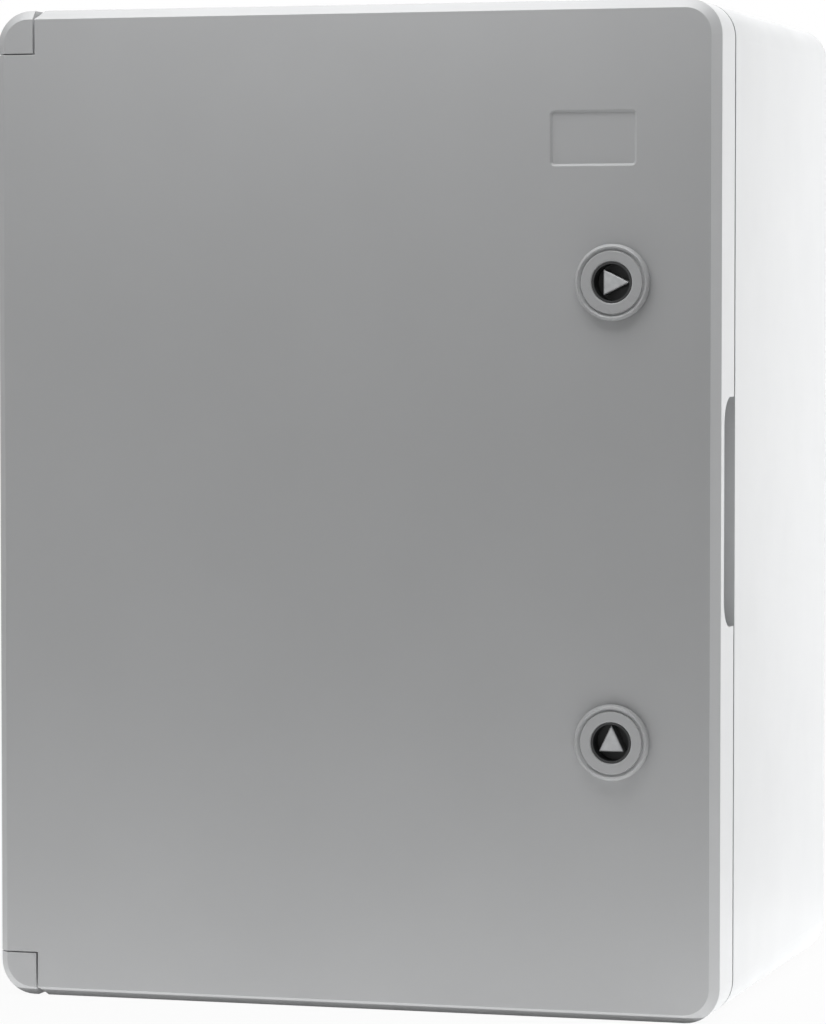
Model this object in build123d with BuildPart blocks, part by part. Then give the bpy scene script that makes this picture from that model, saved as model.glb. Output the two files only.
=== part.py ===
"""Junction box: an ABS wall box with a hinged door, two triangular-key locks and a mounting plate inside.

Millimetres. X is to the right, Y to the back and Z up.
The origin is under the middle of the box, at its lowest level.
"""

import math
import os

from build123d import *

# Case
CASE_WIDTH = 300.0
CASE_HEIGHT = 400.0
CASE_DEPTH = 220.0
CORNER_R = 14.0
WALL = 3.5
BACK_BEVEL = 8.0
INNER_BEVEL = 6.0
SEAM = 2.0

# Sealing collar and the return flange that carries it
COLLAR_WALL = 3.0
COLLAR_CORNER_R = 9.0
FLANGE_THICKNESS = 3.5
RIB_CLEARANCE = 1.0
SEAL_CLEARANCE = 0.3

# Door
DOOR_DEPTH = 26.5
DOOR_WALL = 3.2
DOOR_BEVEL = 3.6
STILE_CHAMFER = 2.8
INNER_RIB_WALL = 2.0
RIB_OVERLAP = 1.0
GASKET_THICKNESS = 5.0

# Label recess, by its middle from the door's right side and top
LABEL_WIDTH = 35.0
LABEL_HEIGHT = 22.0
LABEL_DEPTH = 0.9
LABEL_CORNER_R = 2.0
LABEL_FROM_RIGHT = 50.7
LABEL_FROM_TOP = 53.7

# Finger scoop in the door's right side
SCOOP_LENGTH = 90.4
SCOOP_LIP = 9.0
SCOOP_DEPTH = 6.4
SCOOP_END_R = 11.0
SCOOP_BACK_DEPTH = 5.6
SCOOP_WALL = 2.6
SCOOP_UNDERCUT = 1.2
SCOOP_SAG = 0.8
SCOOP_OUT = 5.0

# Hinge
BLOCK_WIDTH = 16.0
BLOCK_HEIGHT = 17.3
BLOCK_GAP = 0.4
BLOCK_SIDE_GAP = 0.5
NOTCH_CHAMFER = 0.4
PIN_FROM_SIDE = 5.5
PIN_FROM_FRONT = 15.0
PIN_R = 2.0
PIN_FIT = 0.05
PIN_IN_BLOCK = 10.0
PIN_IN_DOOR = 13.0
PIN_END_GAP = 0.5
PIN_BOSS_R = 6.0
EDGE_TOLERANCE = 0.01

# Wall-fixing holes and mounting plate
FIXING_FROM_SIDE = 25.0
FIXING_FROM_END = 25.0
FIXING_HOLE_R = 4.0
PLATE_MARGIN = 18.0
PLATE_THICKNESS = 2.0
PLATE_CORNER_CUT = 24.0
PLATE_BOSS_FROM_SIDE = 47.0
PLATE_BOSS_FROM_END = 50.0
PLATE_BOSS_SIZE = 13.0
PLATE_BOSS_HEIGHT = 14.0
INSERT_ACROSS_FLATS = 6.5
INSERT_LENGTH = 10.0
INSERT_DEPTH = 12.0

# Screws
M4_R = 2.0
M4_ACROSS_FLATS = 7.0
M4_HEAD_HEIGHT = 2.8
COUNTERSINK_R = 4.0
BEVEL_ANGLE = 45.0
COUNTERSINK_FIT = 0.05
PLATE_SCREW_LENGTH = 11.0
BLOCK_SCREW_LENGTH = 16.0
BLOCK_SCREW_FROM_SIDE = 12.0
BLOCK_SCREW_FROM_END = 10.5
BLOCK_SCREW_TIP_GAP = 0.5
CLEARANCE_HOLE = 0.3
THREAD_FIT = 0.02
SLOT_WIDTH = 1.0
SLOT_DEPTH = 1.2

# Locks
LOCK_FROM_RIGHT = 42.5
LOCK_FROM_END = 110.0
BEZEL_R = 15.0
BEZEL_PROUD = 3.0
BEZEL_CHAMFER = 1.0
GROOVE_R = 13.2
GROOVE_WIDTH = 1.2
GROOVE_DEPTH = 0.8
RECESS_CHAMFER = 0.6
LOCK_SEAL_THICKNESS = 0.8
LOCK_SEAL_R = 13.8
BARREL_R = 10.75
BARREL_FLAT = 9.6
BARREL_FIT = 0.2
LOCK_PAD_R = 15.4
LOCK_PAD_THICKNESS = 1.8
NUT_ACROSS_FLATS = 27.0
NUT_THICKNESS = 5.0
ROTOR_R = 8.0
ROTOR_FIT = 0.06
ROTOR_SUNK = 0.3
ROTOR_WALL = 0.8
CUP_DEPTH = 8.0
CUP_FLOOR = 2.0
ROTOR_END_GAP = 0.2
JOURNAL_R = 4.8
JOURNAL_FIT = 0.05
KEY_BASE = 10.0
KEY_HEIGHT = 10.3
KEY_SUNK = 0.8
KEY_FIT = 0.02
KEY_CHAMFER = 0.4
SQUARE_SIZE = 6.5
SQUARE_SHORT = 0.2
CAM_FIT = 0.05
CAM_THICKNESS = 3.0
CAM_WIDTH = 15.0
CAM_LENGTH = 28.0
CAM_TIP_R = 3.0
CAM_CLEARANCE = 0.4
BARREL_END_GAP = 0.4
WASHER_SIZE = 13.0
WASHER_THICKNESS = 1.2
CAM_SCREW_R = 2.5
CAM_SCREW_LENGTH = 12.0
M5_ACROSS_FLATS = 8.0
M5_HEAD_HEIGHT = 3.5

# Places that follow from the sizes
FRONT_Y = (BEZEL_PROUD - CASE_DEPTH) / 2
BACK_Y = FRONT_Y + CASE_DEPTH
DOOR_BACK_Y = FRONT_Y + DOOR_DEPTH
SEAT_Y = DOOR_BACK_Y + SEAM
FLANGE_BACK_Y = SEAT_Y + FLANGE_THICKNESS
REAR_INSIDE_Y = BACK_Y - WALL
SKIN_BACK_Y = FRONT_Y + DOOR_WALL
GASKET_FACE_Y = SKIN_BACK_Y + GASKET_THICKNESS
COLLAR_FRONT_Y = GASKET_FACE_Y + SEAL_CLEARANCE
RIB_TIP_Y = COLLAR_FRONT_Y + RIB_OVERLAP
PLATE_BACK_Y = REAR_INSIDE_Y - PLATE_BOSS_HEIGHT
PLATE_FRONT_Y = PLATE_BACK_Y - PLATE_THICKNESS
MID_Z = CASE_HEIGHT / 2

# Insets from the outline, from the hinge blocks inwards
RIB_INSET = BLOCK_HEIGHT + BLOCK_GAP
CHANNEL_INSET = RIB_INSET + DOOR_WALL
COLLAR_INSET = CHANNEL_INSET + RIB_CLEARANCE
MOUTH_INSET = COLLAR_INSET + COLLAR_WALL
CHANNEL_END_INSET = MOUTH_INSET + RIB_CLEARANCE
RIB_END_INSET = CHANNEL_END_INSET + INNER_RIB_WALL

PIN_X = PIN_FROM_SIDE - CASE_WIDTH / 2
PIN_Y = FRONT_Y + PIN_FROM_FRONT
NOTCH_R = math.hypot(BLOCK_WIDTH + BLOCK_SIDE_GAP - PIN_FROM_SIDE, PIN_FROM_FRONT)
PIN_LENGTH = PIN_IN_BLOCK + BLOCK_GAP + PIN_IN_DOOR
BLOCK_SCREW_X = BLOCK_SCREW_FROM_SIDE - CASE_WIDTH / 2
LOCK_X = CASE_WIDTH / 2 - LOCK_FROM_RIGHT
CAM_FRONT_Y = FLANGE_BACK_Y + CAM_CLEARANCE
BARREL_END_Y = CAM_FRONT_Y - BARREL_END_GAP
LOCK_PAD_BACK_Y = SKIN_BACK_Y + LOCK_PAD_THICKNESS
ROTOR_FRONT_Y = FRONT_Y - BEZEL_PROUD + ROTOR_SUNK
CUP_FLOOR_Y = ROTOR_FRONT_Y + CUP_DEPTH
ROTOR_BACK_Y = CUP_FLOOR_Y + CUP_FLOOR
RECESS_FLOOR_Y = ROTOR_BACK_Y + ROTOR_END_GAP
BEZEL_FRONT_Y = FRONT_Y - BEZEL_PROUD
KEY_FRONT_Y = BEZEL_FRONT_Y + KEY_SUNK
CAM_BACK_Y = CAM_FRONT_Y + CAM_THICKNESS
WASHER_BACK_Y = CAM_BACK_Y + WASHER_THICKNESS
NOTCH_X = BLOCK_WIDTH + BLOCK_SIDE_GAP - CASE_WIDTH / 2
KEY_CORNERS = [
    (-KEY_HEIGHT / 3, -KEY_BASE / 2),
    (KEY_HEIGHT * 2 / 3, 0),
    (-KEY_HEIGHT / 3, KEY_BASE / 2),
]
ENDS = {"upper": 1, "lower": -1}
LOCK_HEIGHTS = {"upper": CASE_HEIGHT - LOCK_FROM_END, "lower": LOCK_FROM_END}
KEY_TURNS = {"upper": 0.0, "lower": 90.0}


def upright(y):
    """Plane that faces the front at depth y, along X and Z. A negative extrude goes back."""
    return Plane.XZ.offset(-y)


def upright_at(x, y, z, turn=0.0):
    """Plane that faces the front at a point, turned about its normal by an angle in degrees."""
    across = (math.cos(math.radians(turn)), 0, math.sin(math.radians(turn)))
    return Plane(origin=(x, y, z), x_dir=across, z_dir=(0, -1, 0))


def outline(inset, corner, mode=Mode.ADD):
    """The case's rounded outline, drawn inwards by inset in the current sketch."""
    with Locations((0, MID_Z)):
        RectangleRounded(CASE_WIDTH - 2 * inset, CASE_HEIGHT - 2 * inset, corner, mode=mode)


def write(piece, name):
    """Labels a finished piece and writes its STEP file."""
    piece.part.label = name
    export_step(piece.part, f"parts/{name}.step")


def write_group(pieces, name):
    """Writes like pieces as separate solids of one file."""
    with BuildPart() as group:
        add([piece.part for piece in pieces])
    write(group, name)


def hex_screw(place, length, shank_r, across_flats, head_height):
    """A hexagon screw that points to the front, its head bearing on a face at that place."""
    seat = Plane(origin=place, x_dir=(1, 0, 0), z_dir=(0, 1, 0))
    with BuildPart() as screw:
        with BuildSketch(seat):
            RegularPolygon(across_flats / 2, 6, major_radius=False)
        extrude(amount=head_height)
        with BuildSketch(seat):
            Circle(shank_r)
        extrude(amount=-length)
    return screw


def corner_points(from_side, from_end):
    """X and Z of four points at a distance from the case's sides and ends, one in each corner."""
    half_x = CASE_WIDTH / 2 - from_side
    half_z = CASE_HEIGHT / 2 - from_end
    return [(sx * half_x, MID_Z + sz * half_z) for sx in (-1, 1) for sz in (-1, 1)]


def fixing_points():
    """X and Z of the wall-fixing holes."""
    return corner_points(FIXING_FROM_SIDE, FIXING_FROM_END)


def plate_points():
    """X and Z of the bosses that carry the mounting plate."""
    return corner_points(PLATE_BOSS_FROM_SIDE, PLATE_BOSS_FROM_END)


def at_end(end, distance):
    """Height of a point at a distance from the case's upper or lower end."""
    return CASE_HEIGHT - distance if end == "upper" else distance


# Tub: outer shell, open at the front behind a return flange, with the sealing collar round the mouth
with BuildPart() as tub_cavity:
    with BuildSketch(upright(FLANGE_BACK_Y)):
        outline(WALL, CORNER_R - WALL)
    extrude(amount=FLANGE_BACK_Y - REAR_INSIDE_Y)
    chamfer(tub_cavity.faces().sort_by(Axis.Y)[-1].edges(), INNER_BEVEL)

with BuildPart() as body_shell:
    with BuildSketch(upright(SEAT_Y)):
        outline(0, CORNER_R)
    extrude(amount=SEAT_Y - BACK_Y)
    chamfer(body_shell.faces().sort_by(Axis.Y)[-1].edges(), BACK_BEVEL)
    add(tub_cavity.part, mode=Mode.SUBTRACT)
    with BuildSketch(upright(SEAT_Y)):
        outline(COLLAR_INSET, COLLAR_CORNER_R)
    extrude(amount=SEAT_Y - COLLAR_FRONT_Y)
    with BuildSketch(upright(COLLAR_FRONT_Y)):
        outline(MOUTH_INSET, COLLAR_CORNER_R - COLLAR_WALL)
    extrude(amount=COLLAR_FRONT_Y - FLANGE_BACK_Y, mode=Mode.SUBTRACT)
    # Bosses for the mounting plate's inserts
    with BuildSketch(upright(PLATE_BACK_Y)):
        with Locations(*plate_points()):
            Rectangle(PLATE_BOSS_SIZE, PLATE_BOSS_SIZE)
    extrude(amount=-PLATE_BOSS_HEIGHT)
    with BuildSketch(upright(PLATE_BACK_Y)):
        with Locations(*plate_points()):
            RegularPolygon(INSERT_ACROSS_FLATS / 2, 6, major_radius=False)
    extrude(amount=-INSERT_DEPTH, mode=Mode.SUBTRACT)
    # Holes for the wall screws
    with BuildSketch(upright(REAR_INSIDE_Y)):
        with Locations(*fixing_points()):
            Circle(FIXING_HOLE_R)
    extrude(amount=-WALL, mode=Mode.SUBTRACT)
    # Holes in the flange for the screws of the hinge blocks
    with BuildSketch(upright(SEAT_Y)):
        with Locations(*[(BLOCK_SCREW_X, at_end(end, BLOCK_SCREW_FROM_END)) for end in ENDS]):
            Circle(M4_R + CLEARANCE_HOLE)
    extrude(amount=-FLANGE_THICKNESS, mode=Mode.SUBTRACT)
write(body_shell, "body_shell")

# Hexagonal brass inserts, flush with the bosses, bored for the plate screws
with BuildPart() as boss_inserts:
    with BuildSketch(upright(PLATE_BACK_Y)):
        with Locations(*plate_points()):
            RegularPolygon(INSERT_ACROSS_FLATS / 2, 6, major_radius=False)
    extrude(amount=-INSERT_LENGTH)
    with BuildSketch(upright(PLATE_BACK_Y)):
        with Locations(*plate_points()):
            Circle(M4_R + THREAD_FIT)
    extrude(amount=-INSERT_LENGTH, mode=Mode.SUBTRACT)
write(boss_inserts, "boss_inserts")

# Mounting plate: steel sheet with its corners cut away from the wall-fixing holes
with BuildPart() as mounting_plate:
    with BuildSketch(upright(PLATE_FRONT_Y)) as plate_outline:
        with Locations((0, MID_Z)):
            Rectangle(CASE_WIDTH - 2 * PLATE_MARGIN, CASE_HEIGHT - 2 * PLATE_MARGIN)
        chamfer(plate_outline.vertices(), PLATE_CORNER_CUT)
    extrude(amount=-PLATE_THICKNESS)
    with BuildSketch(upright(PLATE_FRONT_Y)):
        with Locations(*plate_points()):
            Circle(COUNTERSINK_R + COUNTERSINK_FIT)
    extrude(amount=-PLATE_THICKNESS, taper=BEVEL_ANGLE, mode=Mode.SUBTRACT)
write(mounting_plate, "mounting_plate")


def plate_screw(x, z):
    """Slotted countersunk screw, its head flush with the plate's face."""
    with BuildPart() as screw:
        with BuildSketch(upright_at(x, PLATE_FRONT_Y, z)):
            Circle(COUNTERSINK_R)
        extrude(amount=M4_R - COUNTERSINK_R, taper=BEVEL_ANGLE)
        with BuildSketch(upright_at(x, PLATE_FRONT_Y + SLOT_DEPTH, z)):
            Circle(M4_R)
        extrude(amount=SLOT_DEPTH - PLATE_SCREW_LENGTH)
        with BuildSketch(upright_at(x, PLATE_FRONT_Y, z)):
            Rectangle(2 * COUNTERSINK_R, SLOT_WIDTH)
        extrude(amount=-SLOT_DEPTH, mode=Mode.SUBTRACT)
    return screw


write_group([plate_screw(x, z) for x, z in plate_points()], "plate_screws")


def hinge_block(end):
    """Corner block on the flange, bored upright for the pin and from behind for a screw."""
    screw_z = at_end(end, BLOCK_SCREW_FROM_END)
    middle = (BLOCK_WIDTH / 2 - CASE_WIDTH / 2, at_end(end, BLOCK_HEIGHT / 2))
    with BuildPart() as block:
        with BuildSketch(upright(FRONT_Y)):
            outline(0, CORNER_R)
            with Locations(middle):
                Rectangle(BLOCK_WIDTH, BLOCK_HEIGHT, mode=Mode.INTERSECT)
        extrude(amount=FRONT_Y - SEAT_Y)
        outer = block.faces().sort_by(Axis.Y)[0].edges().filter_by(lambda e: on_outline(e.center()))
        chamfer(outer, DOOR_BEVEL)
        with BuildSketch(Plane.XY.offset(at_end(end, BLOCK_HEIGHT))):
            with Locations((PIN_X, PIN_Y)):
                Circle(PIN_R)
        extrude(amount=ENDS[end] * (PIN_IN_BLOCK + PIN_END_GAP), mode=Mode.SUBTRACT)
        with BuildSketch(upright(SEAT_Y)):
            with Locations((BLOCK_SCREW_X, screw_z)):
                Circle(M4_R)
        extrude(amount=BLOCK_SCREW_LENGTH - FLANGE_THICKNESS + BLOCK_SCREW_TIP_GAP, mode=Mode.SUBTRACT)
    return block


def on_outline(point):
    """Whether a point of a corner block's front lies on the case's outline, not beside the door."""
    beside = abs(point.X - (BLOCK_WIDTH - CASE_WIDTH / 2)) < EDGE_TOLERANCE
    z_inside = min(abs(point.Z - BLOCK_HEIGHT), abs(point.Z - (CASE_HEIGHT - BLOCK_HEIGHT)))
    return not beside and z_inside > EDGE_TOLERANCE


def hinge_pin(end):
    """Steel pin, held in the block's blind bore, that reaches into the door's stile."""
    with BuildPart() as pin:
        with BuildSketch(Plane.XY.offset(at_end(end, BLOCK_HEIGHT - PIN_IN_BLOCK))):
            with Locations((PIN_X, PIN_Y)):
                Circle(PIN_R)
        extrude(amount=-ENDS[end] * PIN_LENGTH)
    return pin


def hinge_block_screw(end):
    """Screw that holds a hinge block from inside the tub."""
    screw_z = at_end(end, BLOCK_SCREW_FROM_END)
    place = (BLOCK_SCREW_X, FLANGE_BACK_Y, screw_z)
    return hex_screw(place, BLOCK_SCREW_LENGTH, M4_R, M4_ACROSS_FLATS, M4_HEAD_HEIGHT)


write_group([hinge_block(end) for end in ENDS], "hinge_blocks")
write_group([hinge_pin(end) for end in ENDS], "hinge_pins")
write_group([hinge_block_screw(end) for end in ENDS], "hinge_block_screws")


def scoop_hollow(grow):
    """Ramp behind the finger lip, its ends rounded. Grown by a wall, it is left out of the cavity."""
    side = CASE_WIDTH / 2
    lip_y = FRONT_Y + SCOOP_LIP - grow
    deep = (side - SCOOP_DEPTH - grow, lip_y + SCOOP_UNDERCUT)
    shallow = (side - SCOOP_BACK_DEPTH - grow, DOOR_BACK_Y)
    middle = ((deep[0] + shallow[0]) / 2 - SCOOP_SAG, (deep[1] + shallow[1]) / 2)
    outside = side + SCOOP_OUT
    with BuildPart() as hollow:
        with BuildSketch(Plane.XY.offset(MID_Z - SCOOP_LENGTH / 2 - grow)):
            with BuildLine():
                ThreePointArc(deep, middle, shallow)
                Polyline(shallow, (outside, DOOR_BACK_Y), (outside, lip_y), (side, lip_y), deep)
            make_face()
        extrude(amount=SCOOP_LENGTH + 2 * grow)
        with BuildSketch(Plane.YZ.offset(side - SCOOP_DEPTH - SCOOP_OUT - grow)) as side_view:
            with Locations(((lip_y + DOOR_BACK_Y) / 2, MID_Z)):
                Rectangle(DOOR_BACK_Y - lip_y, SCOOP_LENGTH + 2 * grow)
            fillet(side_view.vertices().group_by(Axis.X)[0], SCOOP_END_R)
        extrude(amount=SCOOP_DEPTH + grow + 2 * SCOOP_OUT, mode=Mode.INTERSECT)
    return hollow.part


def barrel_section(grow=0.0):
    """Section of a lock's barrel, a circle with two flats, about the current location."""
    Circle(BARREL_R + grow)
    Rectangle(2 * (BARREL_FLAT + grow), 3 * BARREL_R, mode=Mode.INTERSECT)


def ring_corner(inset):
    """Corner radius of the collar, the channel and the ribs, all drawn about the same corner."""
    return COLLAR_CORNER_R + COLLAR_INSET - inset


def ring(outer_inset, inner_inset):
    """A frame between two insets of the case's outline."""
    outline(outer_inset, ring_corner(outer_inset))
    outline(inner_inset, ring_corner(inner_inset), mode=Mode.SUBTRACT)


def notch_edge(edge):
    """Whether an edge of the door's front borders a hinge block."""
    point = edge.center()
    beside = abs(point.X - NOTCH_X) < EDGE_TOLERANCE
    above = min(abs(point.Z - at_end(end, RIB_INSET)) for end in ENDS) < EDGE_TOLERANCE
    return abs(point.Y - FRONT_Y) < EDGE_TOLERANCE and (beside or above)


# Door: one moulding, its cavity open at the back
with BuildPart() as door_cavity:
    with BuildSketch(upright(SKIN_BACK_Y)):
        outline(DOOR_WALL, CORNER_R - DOOR_WALL)
    extrude(amount=SKIN_BACK_Y - DOOR_BACK_Y)
    for end, sign in ENDS.items():
        with BuildSketch(Plane.XY.offset(at_end(end, CHANNEL_INSET))):
            with Locations((PIN_X, PIN_Y)):
                Circle(NOTCH_R + DOOR_WALL)
        extrude(amount=sign * CHANNEL_INSET, mode=Mode.SUBTRACT)
        with BuildSketch(Plane.XY.offset(at_end(end, CHANNEL_INSET))):
            with Locations((PIN_X, PIN_Y)):
                Circle(PIN_BOSS_R)
        extrude(amount=-sign * PIN_IN_DOOR, mode=Mode.SUBTRACT)
    add(scoop_hollow(SCOOP_WALL), mode=Mode.SUBTRACT)

with BuildPart() as door:
    with BuildSketch(upright(FRONT_Y)):
        outline(0, CORNER_R)
    extrude(amount=-DOOR_DEPTH)
    chamfer(door.faces().sort_by(Axis.Y)[0].edges(), DOOR_BEVEL)
    add(door_cavity.part, mode=Mode.SUBTRACT)
    # Ribs of the gasket channel
    with BuildSketch(upright(RIB_TIP_Y)):
        ring(RIB_INSET, CHANNEL_INSET)
        ring(CHANNEL_END_INSET, RIB_END_INSET)
    extrude(amount=RIB_TIP_Y - SKIN_BACK_Y)
    # Pads and holes of the locks
    for z in LOCK_HEIGHTS.values():
        with BuildSketch(upright_at(LOCK_X, SKIN_BACK_Y, z)):
            Circle(LOCK_PAD_R)
        extrude(amount=-LOCK_PAD_THICKNESS)
        with BuildSketch(upright_at(LOCK_X, FRONT_Y, z)):
            barrel_section(BARREL_FIT)
        extrude(amount=-(DOOR_WALL + LOCK_PAD_THICKNESS), mode=Mode.SUBTRACT)
    # Notches round the hinge blocks, then the bevelled back edge that swings past the flange
    for end, sign in ENDS.items():
        with BuildSketch(Plane.XY.offset(at_end(end, RIB_INSET))):
            with Locations((PIN_X, PIN_Y)):
                Circle(NOTCH_R)
        extrude(amount=sign * RIB_INSET, mode=Mode.SUBTRACT)
    upright_edges = door.edges().filter_by(Axis.Z)
    back_edges = upright_edges.filter_by_position(Axis.Y, DOOR_BACK_Y - EDGE_TOLERANCE, DOOR_BACK_Y)
    chamfer(back_edges.sort_by(Axis.X)[0], STILE_CHAMFER)
    chamfer(door.edges().filter_by(notch_edge), NOTCH_CHAMFER)
    for end, sign in ENDS.items():
        with BuildSketch(Plane.XY.offset(at_end(end, RIB_INSET))):
            with Locations((PIN_X, PIN_Y)):
                Circle(PIN_R + PIN_FIT)
        extrude(amount=-sign * (PIN_IN_DOOR + PIN_END_GAP), mode=Mode.SUBTRACT)
    # Label recess and finger scoop
    with BuildSketch(upright(FRONT_Y)):
        with Locations((CASE_WIDTH / 2 - LABEL_FROM_RIGHT, CASE_HEIGHT - LABEL_FROM_TOP)):
            RectangleRounded(LABEL_WIDTH, LABEL_HEIGHT, LABEL_CORNER_R)
    extrude(amount=-LABEL_DEPTH, mode=Mode.SUBTRACT)
    add(scoop_hollow(0.0), mode=Mode.SUBTRACT)
write(door, "door")

with BuildPart() as door_gasket:
    with BuildSketch(upright(GASKET_FACE_Y)):
        ring(CHANNEL_INSET, CHANNEL_END_INSET)
    extrude(amount=GASKET_THICKNESS)
write(door_gasket, "door_gasket")


def key_triangle(grow=0.0):
    """Triangle of the lock's key head, pointing right, its middle on the lock's axis."""
    Polygon(*KEY_CORNERS, align=None)
    if grow:
        offset(amount=grow, kind=Kind.INTERSECTION)


def lock_housing(z):
    """Bezel with a groove, barrel with two flats, recess for the rotor and bore for the spindle."""
    with BuildPart() as housing:
        with BuildSketch(upright_at(LOCK_X, BEZEL_FRONT_Y, z)):
            Circle(BEZEL_R)
        extrude(amount=-(BEZEL_PROUD - LOCK_SEAL_THICKNESS))
        chamfer(housing.faces().sort_by(Axis.Y)[0].edges(), BEZEL_CHAMFER)
        with BuildSketch(upright_at(LOCK_X, BEZEL_FRONT_Y, z)):
            Circle(GROOVE_R)
            Circle(GROOVE_R - GROOVE_WIDTH, mode=Mode.SUBTRACT)
        extrude(amount=-GROOVE_DEPTH, mode=Mode.SUBTRACT)
        with BuildSketch(upright_at(LOCK_X, FRONT_Y - LOCK_SEAL_THICKNESS, z)):
            barrel_section()
        extrude(amount=-(BARREL_END_Y - FRONT_Y + LOCK_SEAL_THICKNESS))
        with BuildSketch(upright_at(LOCK_X, BEZEL_FRONT_Y, z)):
            Circle(ROTOR_R + ROTOR_FIT)
        extrude(amount=BEZEL_FRONT_Y - RECESS_FLOOR_Y, mode=Mode.SUBTRACT)
        with BuildSketch(upright_at(LOCK_X, BEZEL_FRONT_Y, z)):
            Circle(ROTOR_R + ROTOR_FIT + RECESS_CHAMFER)
        extrude(amount=-RECESS_CHAMFER, taper=BEVEL_ANGLE, mode=Mode.SUBTRACT)
        with BuildSketch(upright_at(LOCK_X, BEZEL_FRONT_Y, z)):
            Circle(JOURNAL_R + JOURNAL_FIT)
        extrude(amount=BEZEL_FRONT_Y - BARREL_END_Y, mode=Mode.SUBTRACT)
    return housing


def lock_seal(z):
    """Flat ring between the bezel and the door."""
    with BuildPart() as seal:
        with BuildSketch(upright_at(LOCK_X, FRONT_Y, z)):
            Circle(LOCK_SEAL_R)
            Circle(BARREL_R + BARREL_FIT, mode=Mode.SUBTRACT)
        extrude(amount=LOCK_SEAL_THICKNESS)
    return seal


def lock_nut(z):
    """Hexagon nut that clamps the housing from behind."""
    with BuildPart() as nut:
        with BuildSketch(upright_at(LOCK_X, LOCK_PAD_BACK_Y, z)):
            RegularPolygon(NUT_ACROSS_FLATS / 2, 6, major_radius=False, rotation=30)
            Circle(BARREL_R + THREAD_FIT, mode=Mode.SUBTRACT)
        extrude(amount=-NUT_THICKNESS)
    return nut


def lock_rotor(z, turn):
    """Black cup that turns in the bezel; the spindle's key head stands in it, through the cup's floor."""
    with BuildPart() as rotor:
        with BuildSketch(upright_at(LOCK_X, ROTOR_FRONT_Y, z)):
            Circle(ROTOR_R)
        extrude(amount=ROTOR_FRONT_Y - ROTOR_BACK_Y)
        with BuildSketch(upright_at(LOCK_X, ROTOR_FRONT_Y, z)):
            Circle(ROTOR_R - ROTOR_WALL)
        extrude(amount=ROTOR_FRONT_Y - CUP_FLOOR_Y, mode=Mode.SUBTRACT)
        with BuildSketch(upright_at(LOCK_X, CUP_FLOOR_Y, z, turn)):
            key_triangle(KEY_FIT)
        extrude(amount=CUP_FLOOR_Y - ROTOR_BACK_Y, mode=Mode.SUBTRACT)
    return rotor


def lock_spindle(z, turn):
    """Zinc spindle: triangular key head, journal, square for the cam and a threaded hole in its tail."""
    with BuildPart() as spindle:
        with BuildSketch(upright_at(LOCK_X, KEY_FRONT_Y, z, turn)):
            key_triangle()
        extrude(amount=KEY_FRONT_Y - ROTOR_BACK_Y)
        chamfer(spindle.faces().sort_by(Axis.Y)[0].edges(), KEY_CHAMFER)
        with BuildSketch(upright_at(LOCK_X, ROTOR_BACK_Y, z)):
            Circle(JOURNAL_R)
        extrude(amount=ROTOR_BACK_Y - CAM_FRONT_Y)
        with BuildSketch(upright_at(LOCK_X, CAM_FRONT_Y, z)):
            Rectangle(SQUARE_SIZE, SQUARE_SIZE)
        extrude(amount=-(CAM_THICKNESS - SQUARE_SHORT))
        with BuildSketch(upright_at(LOCK_X, CAM_BACK_Y, z)):
            Circle(CAM_SCREW_R + THREAD_FIT)
        extrude(amount=CAM_SCREW_LENGTH, mode=Mode.SUBTRACT)
    return spindle


def lock_cam(z):
    """Steel tongue on the spindle's square, upright while the lock is open."""
    with BuildPart() as cam:
        with BuildSketch(upright_at(LOCK_X, CAM_FRONT_Y, z)):
            Circle(CAM_WIDTH / 2)
            with Locations((0, CAM_LENGTH / 2)):
                Rectangle(CAM_WIDTH, CAM_LENGTH)
        extrude(amount=-CAM_THICKNESS)
        fillet(cam.edges().filter_by(Axis.Y).group_by(Axis.Z)[-1], CAM_TIP_R)
        with BuildSketch(upright_at(LOCK_X, CAM_FRONT_Y, z)):
            Rectangle(SQUARE_SIZE + 2 * CAM_FIT, SQUARE_SIZE + 2 * CAM_FIT)
        extrude(amount=-CAM_THICKNESS, mode=Mode.SUBTRACT)
    return cam


def cam_washer(z):
    """Square washer behind the cam."""
    with BuildPart() as washer:
        with BuildSketch(upright_at(LOCK_X, CAM_BACK_Y, z)):
            Rectangle(WASHER_SIZE, WASHER_SIZE)
            Circle(CAM_SCREW_R + CLEARANCE_HOLE, mode=Mode.SUBTRACT)
        extrude(amount=-WASHER_THICKNESS)
    return washer


def cam_screw(z):
    """Screw that holds the cam on the spindle."""
    place = (LOCK_X, WASHER_BACK_Y, z)
    return hex_screw(place, CAM_SCREW_LENGTH, CAM_SCREW_R, M5_ACROSS_FLATS, M5_HEAD_HEIGHT)


write_group([lock_housing(z) for z in LOCK_HEIGHTS.values()], "lock_housings")
write_group([lock_seal(z) for z in LOCK_HEIGHTS.values()], "lock_seals")
write_group([lock_nut(z) for z in LOCK_HEIGHTS.values()], "lock_nuts")
for end, z in LOCK_HEIGHTS.items():
    write(lock_rotor(z, KEY_TURNS[end]), f"lock_rotor_{end}")
    write(lock_spindle(z, KEY_TURNS[end]), f"lock_spindle_{end}")
    write(lock_cam(z), f"lock_cam_{end}")
    write(cam_washer(z), f"cam_washer_{end}")
    write(cam_screw(z), f"cam_screw_{end}")
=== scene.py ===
"""Finishes of a wall junction box, its moulded lock housings and label edge, a plain studio and the camera.

Lengths are in metres. X is to the right, Y to the back and Z up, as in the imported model.
"""

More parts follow.
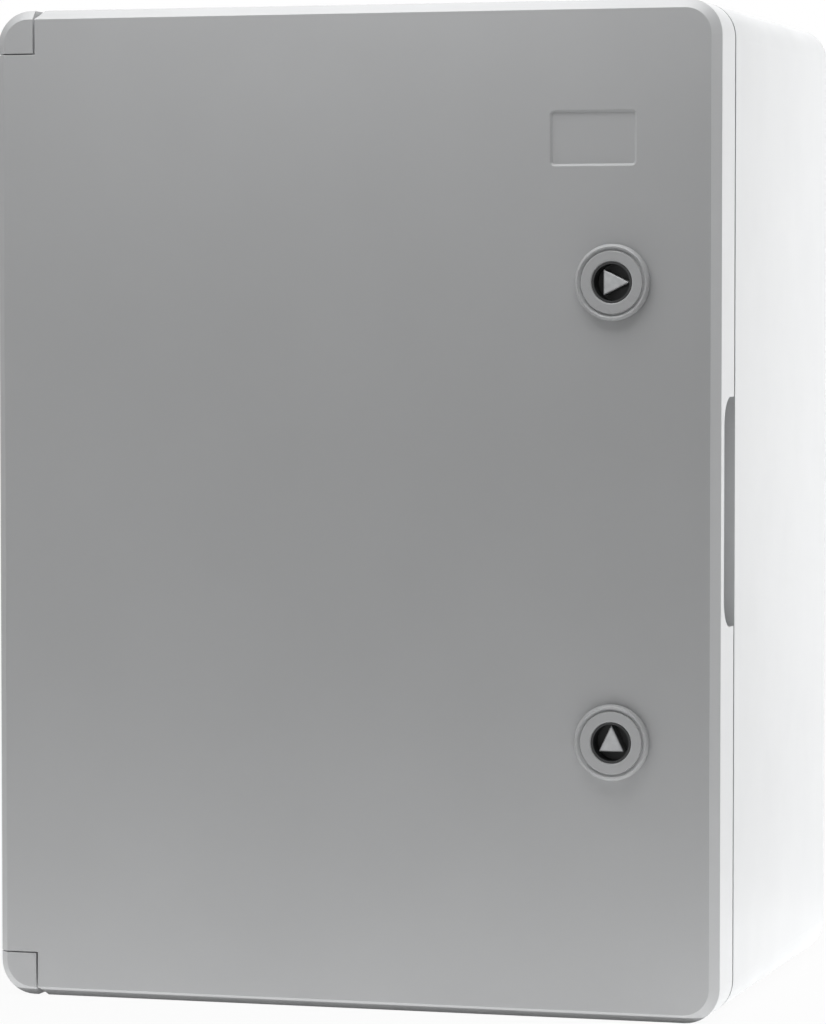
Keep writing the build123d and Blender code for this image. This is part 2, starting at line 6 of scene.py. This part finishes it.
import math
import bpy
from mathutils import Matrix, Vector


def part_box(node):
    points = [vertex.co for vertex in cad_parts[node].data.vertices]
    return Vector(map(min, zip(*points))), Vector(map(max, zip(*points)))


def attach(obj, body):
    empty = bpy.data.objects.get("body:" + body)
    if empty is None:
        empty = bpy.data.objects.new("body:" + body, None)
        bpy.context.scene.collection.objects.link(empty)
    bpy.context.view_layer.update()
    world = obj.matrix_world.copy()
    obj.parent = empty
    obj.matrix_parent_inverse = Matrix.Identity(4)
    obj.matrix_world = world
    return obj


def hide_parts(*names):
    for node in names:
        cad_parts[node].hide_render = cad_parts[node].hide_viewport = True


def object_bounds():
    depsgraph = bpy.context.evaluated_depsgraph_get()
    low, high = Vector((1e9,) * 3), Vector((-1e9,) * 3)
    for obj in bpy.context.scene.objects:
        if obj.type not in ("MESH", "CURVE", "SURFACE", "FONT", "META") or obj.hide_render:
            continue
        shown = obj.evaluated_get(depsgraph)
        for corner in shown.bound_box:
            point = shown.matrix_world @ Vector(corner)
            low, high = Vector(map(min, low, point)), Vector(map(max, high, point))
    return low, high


bl_info = {
    "name": "Junction Box Finishes",
    "version": (1, 0, 0),
    "blender": (4, 5, 0),
    "location": "View3D > Sidebar > Junction Box",
    "description": "Gives a hinged ABS wall box its materials, lock housings, studio light and camera",
    "category": "Object",
}

import bmesh
import bpy
from mathutils import Vector

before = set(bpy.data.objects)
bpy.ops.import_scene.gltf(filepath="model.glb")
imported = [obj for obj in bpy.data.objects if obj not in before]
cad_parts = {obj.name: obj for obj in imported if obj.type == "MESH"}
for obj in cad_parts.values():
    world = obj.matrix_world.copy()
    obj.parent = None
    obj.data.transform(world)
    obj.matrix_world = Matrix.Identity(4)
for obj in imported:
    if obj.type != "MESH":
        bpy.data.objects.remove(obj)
CAD_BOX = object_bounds()

MM = 0.001
SHORTEST = 0.1 * MM
LOCKS = ("upper", "lower")

# Where things are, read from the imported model: the box's highest corner, the face of the door, the front of
# the nuts, the corners round both lock housings, each lock's axis and the radius of the rims
BOX_HIGH = Vector(CAD_BOX[1])
SKIN_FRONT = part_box("door")[0].y
NUT_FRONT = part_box("lock_nuts")[0].y
HOUSING_LOW, HOUSING_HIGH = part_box("lock_housings")
LOCK_CENTRES = {end: sum(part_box(f"cam_washer_{end}"), Vector()) / 2 for end in LOCKS}
RIM_R = HOUSING_HIGH.x - LOCK_CENTRES["upper"].x

# Camera, as fitted to the edges of the box in the photograph, with its turn and tilt in radians
CAMERA_PLACE = (0.5299, -1.8306, 0.2805)
CAMERA_TURN = 0.28458
CAMERA_TILT = 0.04522
FOCAL_PIXELS = 4536.6
PHOTO_HEIGHT = 1024
SENSOR_MM = 36.0
CLIP_END = 100.0

# Blender's noise hardly leaves this range
NOISE_LOW = 0.3
NOISE_HIGH = 0.7


def linear(code):
    """Linear red, green and blue of an sRGB hex colour."""
    parts = [int(code[i:i + 2], 16) / 255 for i in (1, 3, 5)]
    return tuple(c / 12.92 if c <= 0.04045 else ((c + 0.055) / 1.055) ** 2.4 for c in parts)


def colour(name, description, code):
    """A colour property whose default is an sRGB hex colour."""
    return bpy.props.FloatVectorProperty(
        name=name, description=description, subtype="COLOR", size=3, min=0, max=1, default=linear(code))


def length(name, description, value):
    """A length property in metres."""
    return bpy.props.FloatProperty(
        name=name, description=description, unit="LENGTH", min=SHORTEST, default=value)


def level(name, description, value):
    """A property for how bright a light is."""
    return bpy.props.FloatProperty(name=name, description=description, min=0, default=value)


def add_node(tree, kind, inputs=None, **settings):
    """Adds a node with its settings; an input takes a value or the socket that it is linked to."""
    node = tree.nodes.new(kind)
    for name, value in settings.items():
        setattr(node, name, value)
    for name, value in (inputs or {}).items():
        if isinstance(value, bpy.types.NodeSocket):
            tree.links.new(value, node.inputs[name])
        else:
            node.inputs[name].default_value = value
    return node


def new_material(name):
    """An empty node material, its tree and its object coordinates in metres."""
    material = bpy.data.materials.new(name)
    material.use_nodes = True
    tree = material.node_tree
    tree.nodes.clear()
    place = add_node(tree, "ShaderNodeTexCoord").outputs["Object"]
    return material, tree, place


def finish_material(tree, shader):
    """Links a shader to the material's output."""
    add_node(tree, "ShaderNodeOutputMaterial", {"Surface": shader.outputs[0]})


def noise(tree, place, size, detail):
    """Noise with features of a size in metres."""
    node = add_node(tree, "ShaderNodeTexNoise", {"Vector": place, "Scale": 1 / size, "Detail": detail})
    return node.outputs["Fac"]


def varied(tree, place, size, low, high):
    """Noise with features of a size in metres, spread from low to high."""
    spread = add_node(tree, "ShaderNodeMapRange", {
        "Value": noise(tree, place, size, detail=2.0), "From Min": NOISE_LOW, "From Max": NOISE_HIGH,
        "To Min": low, "To Max": high})
    return spread.outputs["Result"]


def bumped(tree, height, distance):
    """A surface normal from a height that spans a distance in metres."""
    return add_node(tree, "ShaderNodeBump", {"Height": height, "Distance": distance}).outputs["Normal"]


def tinted(tree, base, factor):
    """A colour made lighter or darker by a factor that varies over the surface."""
    mixed = add_node(tree, "ShaderNodeVectorMath", {0: (*base,), 1: factor}, operation="MULTIPLY")
    return mixed.outputs["Vector"]


def moulded_plastic(name, base, roughness, ior, grain, grain_height):
    """Injection-moulded plastic: even colour, satin gloss and the very fine grain that the mould leaves.

    The real grain is about 0.05 mm and too fine to show, so it is drawn about ten times coarser.
    """
    material, tree, place = new_material(name)
    clouds = varied(tree, place, size=60 * MM, low=0.985, high=1.015)
    gloss = varied(tree, place, size=25 * MM, low=roughness - 0.03, high=roughness + 0.03)
    finish_material(tree, add_node(tree, "ShaderNodeBsdfPrincipled", {
        "Base Color": tinted(tree, base, clouds), "Roughness": gloss, "IOR": ior,
        "Normal": bumped(tree, noise(tree, place, grain, detail=3.0), grain_height)}))
    return material


def rolled_steel(name, base, roughness):
    """Zinc-plated steel sheet: metallic, with faint rolling lines along its height and cloudy plating."""
    material, tree, place = new_material(name)
    stretched = add_node(tree, "ShaderNodeMapping", {"Vector": place, "Scale": (1.0, 1.0, 0.02)})
    lines = noise(tree, stretched.outputs["Vector"], size=0.5 * MM, detail=4.0)
    clouds = varied(tree, place, size=12 * MM, low=0.94, high=1.04)
    gloss = varied(tree, place, size=6 * MM, low=roughness - 0.06, high=roughness + 0.06)
    finish_material(tree, add_node(tree, "ShaderNodeBsdfPrincipled", {
        "Base Color": tinted(tree, base, clouds), "Metallic": 1.0, "Roughness": gloss,
        "Normal": bumped(tree, lines, distance=0.01 * MM)}))
    return material


def plated_metal(name, base, roughness):
    """Turned or cold-headed metal: small screws, washers and inserts with slightly uneven gloss."""
    material, tree, place = new_material(name)
    clouds = varied(tree, place, size=3 * MM, low=0.93, high=1.05)
    gloss = varied(tree, place, size=1.5 * MM, low=roughness - 0.05, high=roughness + 0.05)
    finish_material(tree, add_node(tree, "ShaderNodeBsdfPrincipled", {
        "Base Color": tinted(tree, base, clouds), "Metallic": 1.0, "Roughness": gloss}))
    return material


def zinc_casting(name, base, roughness):
    """Die-cast zinc, tumbled: metallic and matt, with a pebbled skin of about 0.4 mm."""
    material, tree, place = new_material(name)
    pebbles = noise(tree, place, size=0.4 * MM, detail=2.0)
    clouds = varied(tree, place, size=2 * MM, low=0.92, high=1.06)
    finish_material(tree, add_node(tree, "ShaderNodeBsdfPrincipled", {
        "Base Color": tinted(tree, base, clouds), "Metallic": 1.0, "Roughness": roughness,
        "Normal": bumped(tree, pebbles, distance=0.02 * MM)}))
    return material


def foamed_seal(name, base):
    """Foamed polyurethane: matt, with a skin of closed cells about 0.8 mm across."""
    material, tree, place = new_material(name)
    cells = add_node(tree, "ShaderNodeTexVoronoi", {"Vector": place, "Scale": 1 / (0.8 * MM)})
    shade = varied(tree, place, size=4 * MM, low=0.85, high=1.15)
    finish_material(tree, add_node(tree, "ShaderNodeBsdfPrincipled", {
        "Base Color": tinted(tree, base, shade), "Roughness": 0.85, "IOR": 1.5,
        "Normal": bumped(tree, cells.outputs["Distance"], distance=0.08 * MM)}))
    return material


def dress(material, *nodes):
    """Gives CAD nodes a material."""
    for name in nodes:
        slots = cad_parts[name].data.materials
        slots.clear()
        slots.append(material)


def round_edge(radius, depth, bend, start, end, steps=8):
    """Points of a round edge in a section, as radius and depth, from one angle to another.

    At 0 degrees a point is on the edge's outer side, and at 90 degrees on its front.
    """
    angles = [math.radians(start + (end - start) * i / steps) for i in range(steps + 1)]
    return [(radius + bend * math.cos(a), depth - bend * math.sin(a)) for a in angles]


def join_rings(mesh, rings):
    """Closes the strips between neighbouring rings of vertices, and from the last ring to the first."""
    for ring, following in zip(rings, rings[1:] + rings[:1]):
        count = len(ring)
        for i in range(count):
            j = (i + 1) % count
            mesh.faces.new((ring[i], ring[j], following[j], following[i]))


def finish_piece(mesh, name, material, sharp_angle):
    """Turns a bmesh into a smooth-shaded object of the door, with sharp edges where faces turn by more."""
    bmesh.ops.recalc_face_normals(mesh, faces=mesh.faces)
    data = bpy.data.meshes.new(name)
    mesh.to_mesh(data)
    mesh.free()
    data.shade_smooth()
    data.set_sharp_from_angle(angle=math.radians(sharp_angle))
    data.materials.append(material)
    piece = bpy.data.objects.new(name, data)
    bpy.context.scene.collection.objects.link(piece)
    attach(piece, "door")
    return piece


class JunctionBoxPlastics(bpy.types.PropertyGroup):
    """Colours of the moulded pieces."""
    abs_grey: colour("ABS", "Light grey of the case, the door and the hinge blocks", "#C4C5C6")
    bezel_grey: colour("Bezel", "Grey polyamide of the lock housings and their nuts", "#C4C5C6")
    black: colour("Black", "Black polyamide of the lock rotors", "#202122")
    foam: colour("Foam", "Foamed seal of the door and the locks", "#2B2C2D")


class JunctionBoxMetals(bpy.types.PropertyGroup):
    """Colours of the metal pieces."""
    zinc: colour("Zinc", "Zinc casting of the lock spindles", "#A2A3A4")
    sheet: colour("Sheet", "Zinc-plated mounting plate and cams", "#B9BBBD")
    screw: colour("Screws", "Zinc-plated screws, pins and washers", "#C3C6C9")
    brass: colour("Brass", "Brass inserts under the mounting plate", "#C9A861")


class JunctionBoxMouldings(bpy.types.PropertyGroup):
    """Sizes of the edges and threads that are moulded on."""
    rim_width: length("Rim width", "Width of the raised rim round a lock with the groove inside it", 2.7 * MM)
    rim_slope: length("Rim slope", "Width of the rim's outer slope, up to the middle of its crest", 1.1 * MM)
    crest: length("Crest", "Radius of the rim's crest", 0.25 * MM)
    groove: length("Groove", "Radius of the groove's bottom", 0.25 * MM)
    recess_round: length("Recess edge", "Radius of the edge round the black rotor", 0.75 * MM)
    pitch: length("Pitch", "Distance between the turns of the barrel's thread", 1.5 * MM)
    thread_depth: length("Thread depth", "Depth of the thread's hollows", 0.8 * MM)
    label_slope: length("Label slope", "Width of the sloped edge of the label's recess", 1.0 * MM)


class JunctionBoxStage(bpy.types.PropertyGroup):
    """Floor and light. A light panel at a level of 1 is as bright as what renders as pure white."""
    floor: colour("Floor", "Pale floor under the box", "#E6E6E6")
    backdrop: colour("Backdrop", "What the camera sees behind the box", "#FFFFFF")
    ambient: level("Ambient", "Level of the even light", 0.06)
    table: level("Table", "Level of the lit table round the foot of the box", 0.613)
    hood: level("Hood", "Level of the strip above the door", 0.587)
    softbox: level("Softbox", "Level of the large panel above", 2.6)
    left_wall: level("Left", "Level of the panel on the left", 0.6)
    right_wall: level("Right", "Level of the panel on the right", 4.7)
    back_wall: level("Back", "Level of the panel behind", 0.9)


class JUNCTION_OT_case(bpy.types.Operator):
    """Dresses the case and the blocks, pins and screws of its hinges"""
    bl_idname = "junction_box.case"
    bl_label = "Case and Hinges"

    # The label's recess, as in the part, and the section of its sloped edge, as shares of the slope's width
    # and of the recess's depth
    LABEL_SIZE = (35 * MM, 22 * MM)
    LABEL_CENTRE = (BOX_HIGH.x - 50.7 * MM, BOX_HIGH.z - 53.7 * MM)
    LABEL_CORNER = 2 * MM
    LABEL_DEPTH = 0.9 * MM
    LABEL_SECTION = ((0.0, 0.0), (0.2, 0.08), (0.45, 0.35), (0.7, 0.72), (1.0, 1.0), (0.0, 1.0))
    CORNER_STEPS = 8
    SHARP_ANGLE = 60

    def execute(self, context):
        plastics = context.scene.junction_box_plastics
        metals = context.scene.junction_box_metals
        # ABS from a spark-eroded mould: a soft, even sheen
        abs_case = moulded_plastic(
            "moulded_abs_light_grey", plastics.abs_grey,
            roughness=0.42, ior=1.54, grain=0.5 * MM, grain_height=0.012 * MM)
        steel = plated_metal("zinc_plated_steel_pin", metals.screw, roughness=0.28)
        dress(abs_case, "body_shell", "door", "hinge_blocks")
        dress(steel, "hinge_pins", "hinge_block_screws")
        self.add_label_edge(context.scene.junction_box_mouldings.label_slope, abs_case)
        return {"FINISHED"}

    def add_label_edge(self, slope, material):
        """The sloped edge inside the label's recess: rounded at the door's face and hollow at the floor."""
        mesh = bmesh.new()
        join_rings(mesh, [
            self.label_ring(mesh, across * slope, down * self.LABEL_DEPTH)
            for across, down in self.LABEL_SECTION])
        finish_piece(mesh, "label_recess_edge", material, self.SHARP_ANGLE)

    def label_ring(self, mesh, inset, depth):
        """A rounded rectangle inside the label's recess, at a depth behind the door's face."""
        corner = self.LABEL_CORNER - inset
        half_width, half_height = (size / 2 - self.LABEL_CORNER for size in self.LABEL_SIZE)
        ring = []
        for quarter, (sx, sz) in enumerate(((1, 1), (-1, 1), (-1, -1), (1, -1))):
            for step in range(self.CORNER_STEPS + 1):
                angle = math.radians(90 * (quarter + step / self.CORNER_STEPS))
                ring.append(mesh.verts.new((
                    self.LABEL_CENTRE[0] + sx * half_width + corner * math.cos(angle),
                    SKIN_FRONT + depth,
                    self.LABEL_CENTRE[1] + sz * half_height + corner * math.sin(angle))))
        return ring


class JUNCTION_OT_plate(bpy.types.Operator):
    """Dresses the mounting plate, its screws and the brass inserts"""
    bl_idname = "junction_box.plate"
    bl_label = "Mounting Plate"

    def execute(self, context):
        metals = context.scene.junction_box_metals
        dress(rolled_steel("zinc_plated_steel_sheet", metals.sheet, roughness=0.38), "mounting_plate")
        dress(plated_metal("zinc_plated_steel_screw", metals.screw, roughness=0.25), "plate_screws")
        dress(plated_metal("turned_brass", metals.brass, roughness=0.3), "boss_inserts")
        return {"FINISHED"}


class JUNCTION_OT_seals(bpy.types.Operator):
    """Dresses the foamed gasket of the door and the flat seals of the locks"""
    bl_idname = "junction_box.seals"
    bl_label = "Seals"

    def execute(self, context):
        foam = foamed_seal("foamed_polyurethane", context.scene.junction_box_plastics.foam)
        dress(foam, "door_gasket", "lock_seals")
        return {"FINISHED"}


class JUNCTION_OT_locks(bpy.types.Operator):
    """Dresses the locks: housings, nuts, rotors, spindles, cams and their screws"""
    bl_idname = "junction_box.locks"
    bl_label = "Locks"

    # The spindle's bore, the rotor's recess, the back of the rim, the barrel and its two flats' distance from
    # the axis, all as in the part. Depths count from the foremost point of the rim.
    BORE_R = 4.85 * MM
    RECESS_R = 8.06 * MM
    RECESS_DEPTH = 10.5 * MM
    RIM_BACK = 2.2 * MM
    BARREL_R = 10.75 * MM
    FLAT = 9.6 * MM
    # The face's outer edge, also the bevels behind the rim and at the barrel's end, and the face's depth
    EDGE_R = 0.3 * MM
    FACE_SUNK = 0.05 * MM
    # Vertices round the axis, and rows along one turn of the thread
    COLUMNS = 120
    ROWS_PER_TURN = 8
    SHARP_ANGLE = 60

    def execute(self, context):
        plastics = context.scene.junction_box_plastics
        metals = context.scene.junction_box_metals
        # Polyamide from a smoother mould: a little glossier than the ABS beside it
        bezel = moulded_plastic(
            "moulded_polyamide_grey", plastics.bezel_grey,
            roughness=0.3, ior=1.53, grain=0.5 * MM, grain_height=0.006 * MM)
        dress(bezel, "lock_nuts")
        self.add_housings(context.scene.junction_box_mouldings, bezel)
        black = moulded_plastic(
            "moulded_polyamide_black", plastics.black,
            roughness=0.5, ior=1.53, grain=0.4 * MM, grain_height=0.02 * MM)
        zinc = zinc_casting("die_cast_zinc", metals.zinc, roughness=0.5)
        sheet = rolled_steel("zinc_plated_steel_cam", metals.sheet, roughness=0.34)
        screw = plated_metal("zinc_plated_steel_bolt", metals.screw, roughness=0.25)
        for end in LOCKS:
            dress(black, f"lock_rotor_{end}")
            dress(zinc, f"lock_spindle_{end}")
            dress(sheet, f"lock_cam_{end}")
            dress(screw, f"cam_washer_{end}", f"cam_screw_{end}")
        return {"FINISHED"}

    def add_housings(self, sizes, material):
        """Both housings, each turned about its lock's axis, in place of the plain ones."""
        mesh = bmesh.new()
        rows = self.front_rows(sizes) + self.barrel_rows(sizes)
        for centre in LOCK_CENTRES.values():
            join_rings(mesh, [self.housing_ring(mesh, centre, row, sizes) for row in rows])
        piece = finish_piece(mesh, "lock_housing_mouldings", material, self.SHARP_ANGLE)
        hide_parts("lock_housings")

    def front_rows(self, sizes):
        """Section from the spindle's bore to the rim's back: recess, face, groove and two 45 degree slopes.

        Groove and crest touch the inner slope, and that gives the groove's depth. The outer slope is as deep
        as it is wide, less what the crest's rounding takes off it.
        """
        groove = sizes.groove
        crest = sizes.crest
        shoulder = RIM_R - sizes.rim_width
        ridge = RIM_R - sizes.rim_slope
        lost = (math.sqrt(2) - 1) * crest
        groove_depth = ridge - lost - shoulder - (1 + math.sqrt(2)) * groove
        edge = self.EDGE_R
        face = self.FACE_SUNK
        recess = sizes.recess_round
        section = [(self.BORE_R, self.RECESS_DEPTH), (self.RECESS_R, self.RECESS_DEPTH)]
        section += round_edge(self.RECESS_R + recess, face + recess, recess, start=180, end=90)
        section += [(self.RECESS_R + recess + edge, face), (shoulder - 2 * edge, face)]
        section += round_edge(shoulder - edge, face + edge, edge, start=90, end=0)
        section += round_edge(shoulder + groove, groove_depth, groove, start=-180, end=-45)
        section += round_edge(ridge, crest, crest, start=135, end=45)
        section += [(RIM_R, sizes.rim_slope - lost), (RIM_R, self.RIM_BACK - edge)]
        section += [(RIM_R - edge, self.RIM_BACK), (self.BARREL_R, self.RIM_BACK)]
        return [(radius, depth, False) for radius, depth in section]

    def barrel_rows(self, sizes):
        """Rows along the barrel, a few for each turn of the thread, with a bevelled end."""
        end = HOUSING_HIGH.y - HOUSING_LOW.y
        bevel = self.EDGE_R
        first = NUT_FRONT - HOUSING_LOW.y
        count = round((end - bevel - first) / sizes.pitch * self.ROWS_PER_TURN)
        depths = [self.RIM_BACK] + [first + (end - bevel - first) * i / count for i in range(count + 1)]
        rows = [(self.BARREL_R, depth, True) for depth in depths]
        return rows + [(self.BARREL_R - sizes.thread_depth - bevel, end, True), (self.BORE_R, end, False)]

    def housing_ring(self, mesh, centre, row, sizes):
        """A ring of vertices about a lock's axis. On the barrel it follows the thread and the two flats.

        The thread starts at the nut's front and reaches its full depth after one turn.
        """
        radius, depth, on_barrel = row
        start = NUT_FRONT - HOUSING_LOW.y
        ring = []
        for column in range(self.COLUMNS):
            angle = 2 * math.pi * column / self.COLUMNS
            reach = radius
            if on_barrel:
                turns = (depth - start) / sizes.pitch
                hollow = 0.5 - 0.5 * math.cos(2 * math.pi * turns - angle)
                reach -= sizes.thread_depth * hollow * min(max(turns, 0.0), 1.0)
                sideways = abs(math.cos(angle))
                if reach * sideways > self.FLAT:
                    reach = self.FLAT / sideways
            ring.append(mesh.verts.new((
                centre.x + reach * math.cos(angle),
                HOUSING_LOW.y + depth,
                centre.z + reach * math.sin(angle))))
        return ring


def add_panel(name, place, facing, width, depth, brightness):
    """A lit panel that faces along a direction and that the camera doesn't see."""
    data = bpy.data.lights.new(name, "AREA")
    data.shape = "RECTANGLE"
    data.size = width
    data.size_y = depth
    data.energy = brightness * math.pi * width * depth
    panel = bpy.data.objects.new(name, data)
    panel.location = place
    panel.rotation_euler = Vector(facing).to_track_quat("-Z", "Y").to_euler()
    panel.visible_camera = False
    bpy.context.scene.collection.objects.link(panel)


def seen_by_camera(tree):
    """1 for a camera ray, a mirrored one or one through a clear piece, and 0 for scattered light."""
    path = add_node(tree, "ShaderNodeLightPath").outputs
    direct = {0: path["Is Camera Ray"], 1: path["Is Glossy Ray"]}
    mirrored = add_node(tree, "ShaderNodeMath", direct, operation="ADD").outputs[0]
    reached = {0: mirrored, 1: path["Is Transmission Ray"]}
    return add_node(tree, "ShaderNodeMath", reached, operation="ADD", use_clamp=True).outputs[0]


class JUNCTION_OT_stage(bpy.types.Operator):
    """Adds the floor, the even light, the light panels and the camera of the photograph"""
    bl_idname = "junction_box.stage"
    bl_label = "Studio and Camera"

    FLOOR_HALF = 12.0
    # How much of the floor's look to the camera is the backdrop's; the rest is the lit floor
    FLOOR_WHITE = 0.94
    # Each panel's place, the direction that it faces, its width and its depth, in metres. Its level is the
    # setting of the same name.
    PANELS = {
        "table": ((0, 0, 2 * MM), (0, 0, 1), 0.56, 0.48),
        "hood": ((0, -0.22, 0.47), (0, 0.35, -1), 0.4, 0.16),
        "softbox": ((0, -0.1, 0.85), (0, 0, -1), 0.8, 0.8),
        "left_wall": ((-0.5, -0.35, 0.2), (1, 0.5, 0), 0.4, 0.4),
        "right_wall": ((0.75, 0.35, 0.25), (-1, -0.1, 0), 0.7, 0.7),
        "back_wall": ((-0.2, 1.3, 0.4), (0.1, -1, -0.1), 0.9, 0.9),
    }

    def execute(self, context):
        stage = context.scene.junction_box_stage
        self.add_floor(stage)
        self.add_world(context.scene, stage)
        for name, (place, facing, width, depth) in self.PANELS.items():
            add_panel(name, place, facing, width, depth, getattr(stage, name))
        self.add_camera(context.scene)
        context.scene.view_settings.view_transform = "Standard"
        return {"FINISHED"}

    def add_floor(self, stage):
        """A matt floor that the camera sees nearly white, with the soft shadow of the box."""
        mesh = bpy.data.meshes.new("floor")
        half = self.FLOOR_HALF
        corners = [(-half, -half, 0), (half, -half, 0), (half, half, 0), (-half, half, 0)]
        mesh.from_pydata(corners, [], [(0, 1, 2, 3)])
        floor = bpy.data.objects.new("floor", mesh)
        material, tree, _ = new_material("matt_studio_floor")
        matt = add_node(tree, "ShaderNodeBsdfDiffuse", {"Color": (*stage.floor, 1)})
        white = add_node(tree, "ShaderNodeEmission", {"Color": (*stage.backdrop, 1), "Strength": 1.0})
        whitened = {0: seen_by_camera(tree), 1: self.FLOOR_WHITE}
        share = add_node(tree, "ShaderNodeMath", whitened, operation="MULTIPLY")
        finish_material(tree, add_node(tree, "ShaderNodeMixShader", {
            0: share.outputs[0], 1: matt.outputs[0], 2: white.outputs[0]}))
        mesh.materials.append(material)
        bpy.context.scene.collection.objects.link(floor)

    def add_world(self, scene, stage):
        """Even light all round, with a backdrop that is white to the camera and in reflections."""
        world = bpy.data.worlds.new("studio")
        scene.world = world
        world.use_nodes = True
        tree = world.node_tree
        tree.nodes.clear()
        strength = add_node(tree, "ShaderNodeMapRange", {
            "Value": seen_by_camera(tree), "To Min": stage.ambient, "To Max": 1.0})
        light = add_node(tree, "ShaderNodeBackground", {
            "Color": (*stage.backdrop, 1), "Strength": strength.outputs["Result"]})
        add_node(tree, "ShaderNodeOutputWorld", {"Surface": light.outputs[0]})

    def add_camera(self, scene):
        """The camera of the photograph."""
        data = bpy.data.cameras.new("photo_camera")
        data.sensor_width = SENSOR_MM
        data.lens = FOCAL_PIXELS / PHOTO_HEIGHT * SENSOR_MM
        data.clip_end = CLIP_END
        camera = bpy.data.objects.new("photo_camera", data)
        camera.location = CAMERA_PLACE
        camera.rotation_euler = (math.pi / 2 - CAMERA_TILT, 0, CAMERA_TURN)
        scene.collection.objects.link(camera)
        scene.camera = camera


class JUNCTION_PT_panel(bpy.types.Panel):
    """Lists the steps that dress the box"""
    bl_idname = "JUNCTION_PT_panel"
    bl_label = "Junction Box"
    bl_space_type = "VIEW_3D"
    bl_region_type = "UI"
    bl_category = "Junction Box"

    def draw(self, context):
        for operator in OPERATORS:
            self.layout.operator(operator.bl_idname)
        for name, group in GROUPS.items():
            settings = getattr(context.scene, name)
            for key in group.__annotations__:
                self.layout.prop(settings, key)


GROUPS = {
    "junction_box_plastics": JunctionBoxPlastics,
    "junction_box_metals": JunctionBoxMetals,
    "junction_box_mouldings": JunctionBoxMouldings,
    "junction_box_stage": JunctionBoxStage,
}
OPERATORS = (JUNCTION_OT_case, JUNCTION_OT_plate, JUNCTION_OT_seals, JUNCTION_OT_locks, JUNCTION_OT_stage)
CLASSES = (*GROUPS.values(), *OPERATORS, JUNCTION_PT_panel)


def register():
    for item in CLASSES:
        bpy.utils.register_class(item)
    for name, group in GROUPS.items():
        setattr(bpy.types.Scene, name, bpy.props.PointerProperty(type=group))


def unregister():
    for name in GROUPS:
        delattr(bpy.types.Scene, name)
    for item in reversed(CLASSES):
        bpy.utils.unregister_class(item)


def main():
    """Runs every step in order."""
    register()
    bpy.ops.junction_box.case()
    bpy.ops.junction_box.plate()
    bpy.ops.junction_box.seals()
    bpy.ops.junction_box.locks()
    bpy.ops.junction_box.stage()


if __name__ == "__main__":
    main()
